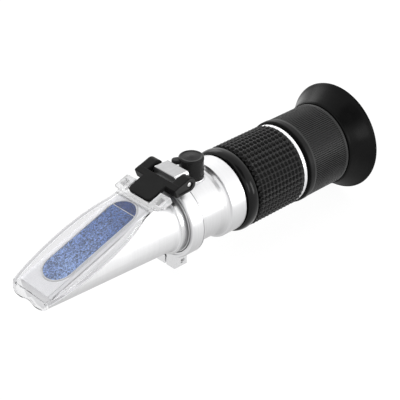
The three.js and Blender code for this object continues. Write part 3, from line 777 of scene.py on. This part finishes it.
def build_clamp_screw():
    low, high = span("clamp_screw")
    sx, sz = middle_of("clamp_screw")
    radius = (high.z - low.z) / 2
    head, shank = 1.02, radius - 0.15
    neck = low.y + 1.3
    body = lathe(rounded([
        (low.y, 0, 0), (low.y, head), (neck, head, 0.1), (neck, shank, 0.1),
        (high.y, shank), (high.y, 0, 0),
    ], 0.18, 4), across(sx, sz), TINY)
    socket_r = 0.56
    hexagon = [(sx + socket_r * math.cos(a), sz + socket_r * math.sin(a)) for a in sweep_of(0, TAU, 6)[:-1]]
    return combine(body, cut(extrude(hexagon, low.y - 1, low.y + 0.8, lambda x, z, y: (x, y, z), edge=0)))


piece(build_clamp_screw(), "clamp_socket_screw", "main_body", steel, ["clamp_screw"])

# ---------------- hinge


def build_block():
    low, high = span("hinge_block")
    foot, seat_r, pin_bore = 11.8, 14.95, 1.15
    side = rounded([(low.y, foot, 0), (high.y, foot, 0), (high.y, high.z, 1.2), (low.y, high.z, 1.2)], 0, 6)
    seat = rod(low.x - 1, high.x + 1, seat_r, along_x, INNER)
    hole = rod(low.y - 1, high.y + 1, pin_bore, across(PIN.x, PIN.z))
    block = combine(extrude(side, low.x, high.x, end_on, edge=0.5), cut(seat), cut(hole))
    # painted highlight: the block's rounded top edges take the lighter trim aluminium
    paint(block, 1, lambda normal, centre: normal.z > 0.1 and abs(normal.y) > 0.25)
    return block


piece(build_block(), "hinge_saddle", "main_body", painted_shade_block_metal, ["hinge_block"],
      extra=[trim_and_highlight_metal])


def build_pin():
    low, high = span("hinge_pin")
    radius = (high.z - low.z) / 2
    dome = 0.35
    cap = [(dome * (1 - math.cos(a)), radius * math.sin(a)) for a in sweep_of(0, math.pi / 2, 5)]
    profile = [(low.y + y, r) for y, r in cap] + [(high.y - y, r) for y, r in reversed(cap)]
    return lathe(profile, across(PIN.x, PIN.z), TINY)


piece(build_pin(), "hinge_axle", "main_body", steel, ["hinge_pin"])

LEVER_TOP = 1.7
LEVER_UNDER = -1.8
ARM_HALF = 10.5
ARM_INNER = 6.2
ARM_FRONT = 17
TONGUE_HALF = 5.9
TONGUE_UNDER = 0.3
HUB_R = 2.6
PANEL_DEPTH = 0.35  # of the shallow panel in each arm's outer side
PIN_BORE = 1.0


def flat_across(s, w, v):
    return deck(s, v, w)


def build_lever():
    tip, root = 9.0, 19
    tongue = extrude(rounded([(tip, -TONGUE_HALF, 2.2), (root, -TONGUE_HALF, 0), (root, TONGUE_HALF, 0),
                              (tip, TONGUE_HALF, 2.2)], 0, 8), TONGUE_UNDER, LEVER_TOP, deck, edge=0.5)
    bridge = bar(ARM_FRONT, 19.8, -ARM_HALF, ARM_HALF, LEVER_UNDER, LEVER_TOP, deck, 0.35)
    parts = [add(bridge)]
    turns = [math.radians(80 - 13 * k) for k in range(15)]
    hub = [(PIN_S + HUB_R * math.cos(turn), PIN_W + HUB_R * math.sin(turn), 0) for turn in turns]
    panel_s = ARM_FRONT + 0.9
    profile = rounded([(ARM_FRONT, LEVER_UNDER, 0.9), (ARM_FRONT, LEVER_TOP, 0.7), *hub], 0, 6)
    panel = rounded([(panel_s, LEVER_UNDER + 0.7), (panel_s, LEVER_TOP - 0.8), (PIN_S + 0.2, LEVER_TOP - 0.8),
                     (PIN_S + 1.6, PIN_W - 0.2), (PIN_S - 0.4, PIN_W - 1.7)], 0.5, 4)
    for low, high in both(ARM_INNER, ARM_HALF):
        parts.append(add(extrude(profile, low, high, flat_across, edge=0.4)))
    for low, high in both(ARM_HALF - PANEL_DEPTH, ARM_HALF + 1):
        parts.append(cut(extrude(panel, low, high, flat_across, edge=0)))
    hole = rod(-ARM_HALF - 1, ARM_HALF + 1, PIN_BORE, across(PIN.x, PIN.z))
    lever = combine(tongue, *parts, cut(hole))
    # painted light: the arm panels' outer faces take the lighter arm plastic
    paint(lever, 1, lambda normal, centre: abs(normal.y) > 0.9 and abs(centre.y) > ARM_INNER + 1)
    return lever


piece(build_lever(), "cover_lever", "daylight_cover", lever_plastic, ["hinge_lever"], sharp=32,
      extra=[arm_plastic_painted_light])

# ---------------- daylight plate

PLATE_TOP = 1.3
PLATE_UNDER = 0.3
PLATE_FRONT = -41.3
PLATE_REAR = 8.7
PLATE_WALL = 1.2
LUG_REAR = 14.3     # the lugs reach from the plate's rear edge under the lever
LUG_HALF = 11.2
LUG_TOP = 1.5
LUG_UNDER = -0.9
FOOT_FRONT = 10.4   # of the lower step across both lugs
NOTCH_INNER, NOTCH_OUTER = 8.0, 10.3
EDGE_STATIONS = [-41.1, -40.8, -40.4, -39.8, -39.0]    # closer sections round the front corners
HALF_WIDTHS = [(-41.3, 8.3), (-40.9, 9.0), (-40.0, 9.6), (-37, 10.4), (-28, 11.65), (-18, 12.15), (-9, 11.75),
               (-2, 10.65), (3, 9.35), (5, 9.1), (8.7, 9.1)]


def between(table, at):
    """Smooth value through a table of (station, value)."""
    for i in range(len(table) - 1):
        if at <= table[i + 1][0]:
            break
    (x1, y1), (x2, y2) = table[i], table[i + 1]
    x0, y0 = table[max(i - 1, 0)]
    x3, y3 = table[min(i + 2, len(table) - 1)]
    m1 = (y2 - y0) / (x2 - x0)
    m2 = (y3 - y1) / (x3 - x1)
    t = (at - x1) / (x2 - x1)
    h = x2 - x1
    return ((2 * t ** 3 - 3 * t * t + 1) * y1 + (t ** 3 - 2 * t * t + t) * h * m1
            + (3 * t * t - 2 * t ** 3) * y2 + (t ** 3 - t * t) * h * m2)


def skirt_foot(s):
    """How far below the deck the skirt reaches; it runs out towards the hinge."""
    return -0.8 + 0.7 * max(0.0, min(1.0, (s + 8) / 12)) ** 1.5


def plate_section(s):
    half = between(HALF_WIDTHS, s)
    foot = min(skirt_foot(s), PLATE_UNDER - 0.35)
    shoulder = min(1.1, PLATE_TOP - foot - 0.15)
    inner_half = half - PLATE_WALL
    inner_drop = min(0.6, PLATE_UNDER - foot - 0.1)
    flat = half - 1.1
    inner_flat = inner_half - 0.6
    side = []
    for turn in sweep_of(0, math.pi / 2, 8):
        side.append((flat + (half - flat) * math.sin(turn), PLATE_TOP - shoulder * (1 - math.cos(turn))))
    side += [(half, foot + 0.15), (half - 0.15, foot), (inner_half + 0.15, foot), (inner_half, foot + 0.1)]
    for turn in sweep_of(math.pi / 2, -math.pi / 2, 8):
        side.append((inner_flat + (inner_half - inner_flat) * math.sin(turn),
                     PLATE_UNDER - inner_drop * (1 - math.cos(turn))))
    other = [(-v, w) for v, w in reversed(side)]
    return [deck(s, v, w) for v, w in [*side, *other]]


def build_lip():
    """The thumb lip: a thin apron of two rounded lobes hanging in front of the nose."""
    columns, rows = 56, 12
    half = 8.9
    toe_w = -2.1

    def outer_point(u, t):
        v = half * u
        if abs(u) < 0.5:
            lobe = 0.8 - 0.2 * math.cos(TAU * abs(u))
        else:
            lobe = math.sqrt(max(0.0, 1 - (2 * abs(u) - 1) ** 2))
        reach = 0.55 + 1.45 * lobe
        s = PLATE_FRONT + 0.6 - (reach + 0.6) * (1 - (1 - t) ** 1.7)
        w = PLATE_TOP + (toe_w + 0.5 * (1 - lobe) - PLATE_TOP) * t ** 1.25
        return v, s, w

    loops = []
    for i in range(columns + 1):
        front, back = [], []
        for j in range(rows + 1):
            t = j / rows
            v, s, w = outer_point(-1 + 2 * i / columns, t)
            front.append(deck(s, v, w))
            back.append(deck(s + 0.95 - 0.25 * t, v, w + (0.0 if j else -0.25)))
        loops.append(front + back[::-1])
    return loft(loops)


def build_plate():
    marks = [PLATE_FRONT, *EDGE_STATIONS]
    while marks[-1] < PLATE_REAR - 1.0:
        marks.append(marks[-1] + 1.0)
    shell = loft([plate_section(s) for s in [*marks, PLATE_REAR]])
    steps = [add(build_lip())]
    for low, high in both(ARM_INNER, LUG_HALF):
        steps.append(add(bar(7.9, LUG_REAR, low, high, PLATE_UNDER, LUG_TOP, deck, 0.3)))
        steps.append(add(bar(FOOT_FRONT, LUG_REAR, low, high, LUG_UNDER, 1.1, deck, 0.15)))
    steps.append(add(bar(FOOT_FRONT, LUG_REAR, -8.6, 8.6, LUG_UNDER, 0.0, deck, 0.12)))
    steps.append(add(bar(7.3, PLATE_REAR, -9.0, 9.0, PLATE_UNDER, LUG_TOP, deck, 0.25)))
    for low, high in both(NOTCH_INNER, NOTCH_OUTER):
        steps.append(cut(bar(9.4, 12.6, low, high, -3, 3, deck, 0.15)))
    return combine(shell, *steps)


piece(build_plate(), "daylight_cover_plate", "daylight_cover", acrylic, ["daylight_plate"],
      sharp=32)

# ---------------- barrel and calibration adjuster


def build_barrel():
    x0, x1, flange = stations("barrel")
    tube, bore = 12.55, 11.3
    body = lathe(rounded([
        (x0, bore, 0.1), (x0, tube, 0.3), (-79.6, tube + 0.05, 0), (-72.5, tube + 0.12, 0.8),
        (-71.3, 13.05, 0.8), (-70.5, 13.75, 0.5), (-70.2, flange, 0.22), (x1, flange, 0.3), (x1, bore, 0.1),
    ], 0.2, 4))
    boss_r, boss_base, boss_top, bush_bore = 4.9, 11.4, 12.7, 2.95
    boss = lathe(rounded([(boss_base, 0, 0), (boss_base, boss_r, 0), (boss_top, boss_r, 0.2), (boss_top, 0, 0)],
                         0.2, 4), upright(SCREW.x), MEDIUM)
    hole = rod(8, 18, bush_bore, upright(SCREW.x))
    return combine(body, add(boss), cut(hole))


piece(build_barrel(), "barrel_tube", "main_body", aluminium, ["barrel"], sharp=30)


def build_cap():
    low, high = span("calibration_cap")
    base, top = low.z, high.z
    radius, wall, roof = 4.55, 1.1, 18.8
    profile = rounded([
        (base, radius - wall, 0.1), (base, radius, 0.2), (base + 0.75, radius, 0.2),
        (base + 0.9, radius - 0.14, 0.15), (top - 2.5, radius - 0.1, 0.6), (top - 1.2, radius, 0.5),
        (top - 0.45, radius - 0.05, 0.28), (top - 0.1, radius - 0.45, 0.2), (top - 0.3, radius - 1.3, 0.5),
        (top - 0.12, 0.9, 1), (top, 0, 0), (roof, 0, 0), (roof, radius - wall, 0.4),
    ], 0.2, 4)
    body = lathe(profile, upright(SCREW.x), MEDIUM)
    reach, tab_r, tab_base = 5.5, 1.5, 18.3
    turn = math.radians(-34)
    c, s = math.cos(turn), math.sin(turn)
    loop = [(0.5 - radius, -tab_r), (0.5 - radius, tab_r)]
    for angle in sweep_of(math.pi / 2, math.pi, 16):
        loop.append((-reach + tab_r * math.cos(angle), tab_r * math.sin(angle)))
    loop = [(SCREW.x + x * c - y * s, x * s + y * c) for x, y in loop]
    return combine(body, add(extrude(loop, tab_base, top - 0.9, as_is, edge=0.35)))


piece(build_cap(), "rubber_cap", "cap", cap_rubber, ["calibration_cap"])


def build_bush():
    low, high = span("calibration_bush")
    bore, shank, flange, seat = 1.8, 2.6, high.y, 13.0
    return lathe(rounded([
        (low.z, bore), (high.z, bore), (high.z, flange), (seat, flange), (seat, shank, 0.1), (low.z, shank),
    ], 0.15, 3), upright(SCREW.x), SMALL)


piece(build_bush(), "screw_bush", "main_body", brass, ["calibration_bush"])


def build_adjuster():
    low, high = span("calibration_screw")
    head, shank, head_base = high.y, 1.5, 15.4
    profile = rounded([
        (low.z, 0, 0), (low.z, 1.1, 0.2), (10, shank, 0.2), (head_base, shank, 0.1), (head_base, head, 0.25),
        (high.z, head, 0.4), (high.z, 0, 0),
    ], 0.2, 4)
    slot = bar(SCREW.x - 3, SCREW.x + 3, -0.3, 0.3, high.z - 0.7, high.z + 1, edge=0.02)
    return combine(lathe(profile, upright(SCREW.x), SMALL), cut(slot))


piece(build_adjuster(), "slotted_screw", "adjuster", brass, ["calibration_screw"])

# ---------------- grip

SLEEVE_BORE = 13.9  # of the bead, the grip and the trim ring


def build_bead():
    x0, x1, outer = stations("bead_ring")
    inner = SLEEVE_BORE
    profile = [(x0 + 0.35, inner), (x0 + 0.05, inner + 0.3)]
    middle, half = (x0 + x1) / 2, (x1 - x0) / 2
    foot, fullness = 14.35, 0.62
    for angle in sweep_of(0, math.pi, 16):
        profile.append((middle - half * math.cos(angle), foot + (outer - foot) * math.sin(angle) ** fullness))
    profile += [(x1 - 0.05, inner + 0.3), (x1 - 0.35, inner)]
    return lathe(profile)


piece(build_bead(), "bead_collar", "main_body", bead_rubber, ["bead_ring"], sharp=60)

GRIP_ROWS = 46
GRIP_COLUMNS = 12


def build_grip():
    """A rubber sleeve moulded as a waffle: thin crossing ridges with raised crossings."""
    x0, x1, outer = stations("grip_sleeve")
    inner, depth = SLEEVE_BORE, 0.85
    along_height, around_height = 0.84, 0.66
    lead, tail = 0.3, 0.75
    pitch = (x1 - x0 - lead - tail) / GRIP_COLUMNS
    ridge = ((0.0, 1.0), (0.1, 1.0), (0.3, 0.0), (0.8, 0.0))
    columns = [(x0, 0.0), (x0 + lead * 0.6, 0.0)]
    for i in range(GRIP_COLUMNS):
        start = x0 + lead + pitch * i
        for share, level in ((0.12, 0.0), (0.62, 0.0), (0.8, 1.0), (0.93, 1.0)):
            columns.append((start + pitch * share, level))
    columns += [(x1 - tail * 0.8, 0.0), (x1 - tail * 0.55, 0.9), (x1 - 0.12, 0.9), (x1, 0.7)]
    rows = []
    for j in range(GRIP_ROWS):
        for share, level in ridge:
            rows.append(((j + share) / GRIP_ROWS * TAU, level))
    bm = bmesh.new()
    rings = []
    for x, across_level in columns:
        points = []
        for angle, along_level in rows:
            level = max(along_level * along_height, across_level * around_height)
            level += (1 - along_height) * along_level * across_level
            points.append(along_x(x, outer - depth * (1 - level), angle))
        rings.append(ring_of(bm, points))
    for x in (x1, x0):
        rings.append(ring_of(bm, [along_x(x, inner, angle) for angle, _ in rows]))
    skin(bm, rings)
    outward(bm)
    # painted shade: faces down in the pockets take the darker pocket rubber
    paint(bm, 1, lambda normal, centre: inner + 0.5 < off_axis(centre) < outer - depth * 0.42)
    return bm


piece(build_grip(), "waffle_grip", "main_body", grip_rubber, ["grip_sleeve"], sharp=50,
      weighted=False, extra=[painted_shade_pocket_rubber])


def build_trim():
    x0, x1, outer = stations("trim_ring")
    middle = (x0 + x1) / 2
    return lathe(rounded([
        (x0, SLEEVE_BORE, 0.1), (x0, outer, 0.25), (middle - 0.1, outer, 0.05), (middle, outer - 0.12, 0.05),
        (middle + 0.1, outer, 0.05), (x1, outer, 0.25), (x1, SLEEVE_BORE, 0.1),
    ], 0.2, 3))


piece(build_trim(), "trim_band", "main_body", trim_and_highlight_metal, ["trim_ring"])

# ---------------- focusing ring and eyecup

RIBS = 126


def build_focus():
    x0, x1, lip = stations("focus_ring")
    tube_r, spigot, inner = 16.1, 14.0, 12.5
    band_end, rib_end, shoulder = -28.95, -11.2, -10.1
    groove = 0.42
    bm = bmesh.new()
    shares = ((0.0, 1.0), (0.3, 1.0), (0.5, 0.0), (0.8, 0.0))
    angles = [((k + share) / RIBS * TAU, level) for k in range(RIBS) for share, level in shares]
    plain = rounded([
        (x0, inner, 0.1), (x0, lip - 0.02, 0.35), (band_end, lip, 0.12), (band_end + 0.15, tube_r, 0.05),
    ], 0.2, 4)[:-4] + [(band_end + 0.1, tube_r + 0.05), (band_end + 0.3, tube_r)]
    ribbed = [(band_end + 0.9, 0.0), (band_end + 1.3, 1.0), (band_end + 7, 1.0), (band_end + 12, 1.0),
              (rib_end - 0.4, 1.0), (rib_end, 0.0)]
    tail = rounded([
        (rib_end + 0.4, tube_r, 0), (shoulder, tube_r + 0.02, 0.3), (shoulder, spigot, 0.1), (x1, spigot, 0.2),
        (x1, inner, 0.1), (x0 + 1, inner, 0),
    ], 0.2, 4)
    stops = [(x, radius, 0.0) for x, radius in plain]
    stops += [(x, tube_r, groove * share) for x, share in ribbed]
    stops += [(x, radius, 0.0) for x, radius in tail]
    skin(bm, [ring_of(bm, [along_x(x, radius - dip * (1 - level), angle) for angle, level in angles])
              for x, radius, dip in stops])
    outward(bm)
    # painted shade: the front band takes the darker band plastic
    paint(bm, 1, lambda normal, centre: centre.x < band_end + 0.1)
    return bm


piece(build_focus(), "focus_barrel", "focus_turner", ring_plastic, ["focus_ring"], sharp=40,
      extra=[painted_shade_band_plastic])


def smooth_path(points, per=6):
    """Catmull-Rom points through an open 2-D path."""
    out = []
    count = len(points)
    for i in range(count - 1):
        p0, p1, p2, p3 = (Vector(points[max(0, min(count - 1, i + k))]) for k in (-1, 0, 1, 2))
        for k in range(per):
            t = k / per
            out.append(tuple(0.5 * (2 * p1 + (p2 - p0) * t + (2 * p0 - 5 * p1 + 4 * p2 - p3) * t * t
                                    + (3 * p1 - p0 - 3 * p2 + p3) * t ** 3)))
    out.append(tuple(points[-1]))
    return out


CUP_FRONT = -9.78


def build_eyecup():
    _, x1, rim = stations("eyecup")
    outside = smooth_path([(CUP_FRONT, 16.3), (-9.2, 16.75), (-8, 17.2), (-6, 18.0), (-4, 19.0), (-2, 20.2),
                           (-0.75, rim - 0.3)])
    edge = [(-0.35, rim - 0.04), (-0.08, rim - 0.12), (x1, rim - 0.4), (x1, rim - 0.8), (-0.12, rim - 1.0)]
    inside = smooth_path([(-0.5, rim - 1.3), (-2, 18.9), (-4, 17.5), (-5.6, 16.0), (-6.7, 14.35)])
    return lathe([*outside, *edge, *inside, (CUP_FRONT, 14.3)])


piece(build_eyecup(), "flared_eyecup", "focus_turner", eyecup_rubber, ["eyecup"], sharp=50)

# ---------------- eyepiece


def build_eyepiece():
    x0, x1, flange = stations("eyepiece_tube")
    stop_r, bore, tube = 7.6, 8.6, 9.9
    stop_x, shoulder = -28.6, -13
    return lathe(rounded([
        (x0, stop_r), (x0, tube), (shoulder, tube, 0.1), (shoulder, flange), (x1, flange, 0.3), (x1, 9.3, 0.15),
        (x1 - 0.5, bore, 0.1), (stop_x, bore, 0.1), (stop_x, stop_r),
    ], 0.2, 4), along_x, INNER)


piece(build_eyepiece(), "eyepiece_cell_tube", "eyepiece_cell", anodised, ["eyepiece_tube"])


def build_retainer():
    x0, x1, outer = stations("eyepiece_retainer")
    body = lathe(rounded([(x0, outer - 1.6), (x0, outer), (x1, outer, 0.2), (x1, outer - 1.0, 0.15),
                          (x1 - 0.5, outer - 1.6, 0.1)], 0.15, 3), along_x, INNER)
    slots = both(6.2, 8.6)
    return combine(body, *(cut(bar(x1 - 0.6, x1 + 1, low, high, -0.5, 0.5, edge=0.02)) for low, high in slots))


piece(build_retainer(), "eye_lens_retainer", "eyepiece_cell", anodised,
      ["eyepiece_retainer"])


def build_lens(node, dome):
    x0, x1, outer = stations(node)
    edge, sag = 1.2, 1.8
    flat = x0 if dome > 0 else x1
    profile = [(flat, 0), (flat, outer - 0.2), (flat + dome * 0.15, outer)]
    for k in range(13):
        share = 1 - k / 12
        profile.append((flat + dome * (edge + sag * (1 - share * share)), outer * share))
    return lathe(profile, along_x, INNER)


piece(build_lens("eye_lens", -1), "eye_lens_glass", "eyepiece_cell", glass, ["eye_lens"])
piece(build_lens("field_lens", 1), "field_lens_glass", "eyepiece_cell", glass, ["field_lens"])

# ---------------- inner CAD pieces that stay

KEPT = {
    "light_baffle": inner_black, "hinge_block_screw": steel, "return_spring": steel, "grip_tube": anodised,
    "objective_carrier": anodised, "objective_lens": glass, "objective_retainer": anodised,
    "reticle_disc": glass, "reticle_retainer": anodised, "focus_key": steel, "lens_spacer": inner_black,
}
for node, finish in KEPT.items():
    target = bpy.data.objects[node]
    if not target.material_slots:
        target.data.materials.append(finish)
    for held in target.material_slots:
        held.material = finish

# ---------------- floor, light and camera


def build_floor():
    size, cells = 3.0, 12
    bm = bmesh.new()
    bmesh.ops.create_grid(bm, x_segments=cells, y_segments=cells, size=size)
    floor = holder(bm, "studio_floor")
    finish = Finish("floor_paper", Roughness=0.9, Emission_Strength=0.94)
    finish.set(Base_Color=finish.ramp(finish.noise(20.0), (0.3, grey(0.05)), (0.7, grey(0.06))))
    finish.set(Emission_Color=(1, 1, 1, 1))
    floor.data.materials.append(finish.material)


def add_light(name, spot, target, width, height, power):
    data = bpy.data.lights.new(name, "AREA")
    data.shape = "RECTANGLE"
    data.size = width
    data.size_y = height
    data.energy = power
    lamp = bpy.data.objects.new(name, data)
    bpy.context.scene.collection.objects.link(lamp)
    lamp.location = spot
    lamp.rotation_euler = (Vector(target) - Vector(spot)).to_track_quat("-Z", "Y").to_euler()


def build_sky(tree):
    """Soft light by height, with one dark flag above the instrument's near side."""
    sky = Nodes(tree)
    place = sky.node("ShaderNodeTexCoord").outputs["Generated"]
    height = sky.node("ShaderNodeSeparateXYZ", Vector=place).outputs["Z"]
    bands = sky.ramp(height, *((at, grey(level)) for at, level in SKY_LEVELS))
    toward = sky.node("ShaderNodeVectorMath")
    toward.operation = "DOT_PRODUCT"
    sky.wire(place, toward.inputs[0])
    sky.wire(FLAG_TOWARD, toward.inputs[1])
    flag = sky.remap(toward.outputs["Value"], 0.89, 0.95, 1.0, 0.2, "SMOOTHSTEP")
    background = tree.nodes["Background"].inputs
    sky.wire(sky.mix(1.0, bands, flag, "MULTIPLY"), background["Color"])
    sky.wire(1.5, background["Strength"])


FLAG_TOWARD = (-0.18, -0.45, 0.87)
SKY_LEVELS = ((0.0, 0.75), (0.3, 0.95), (0.55, 1.0), (0.75, 0.95), (0.9, 0.85), (1.0, 0.8))

build_floor()
scene = bpy.context.scene
scene.world = bpy.data.worlds.new("studio")
scene.world.use_nodes = True
build_sky(scene.world.node_tree)
add_light("rim", (0.15, 0.75, 0.4), (0.03, 0, 0.03), 0.7, 0.35, 1.2)
add_light("side", (0.46, -0.65, 0.16), (0, 0, 0.02), 0.16, 0.4, 1.2)
add_light("fill", (-0.2, -0.95, 0.36), (0.07, 0, 0.02), 0.5, 0.4, 2.0)

camera_data = bpy.data.cameras.new("camera")
camera_data.lens = 115.6
camera_data.sensor_width = 36
camera = bpy.data.objects.new("camera", camera_data)
scene.collection.objects.link(camera)
camera.location = (-0.2659, -0.2849, 0.2648)
camera.rotation_euler = (math.radians(58.22), 0, math.radians(-43.3))
scene.camera = camera
scene.view_settings.view_transform = "Standard"
scene.view_settings.look = "None"

bpy.context.view_layer.update()
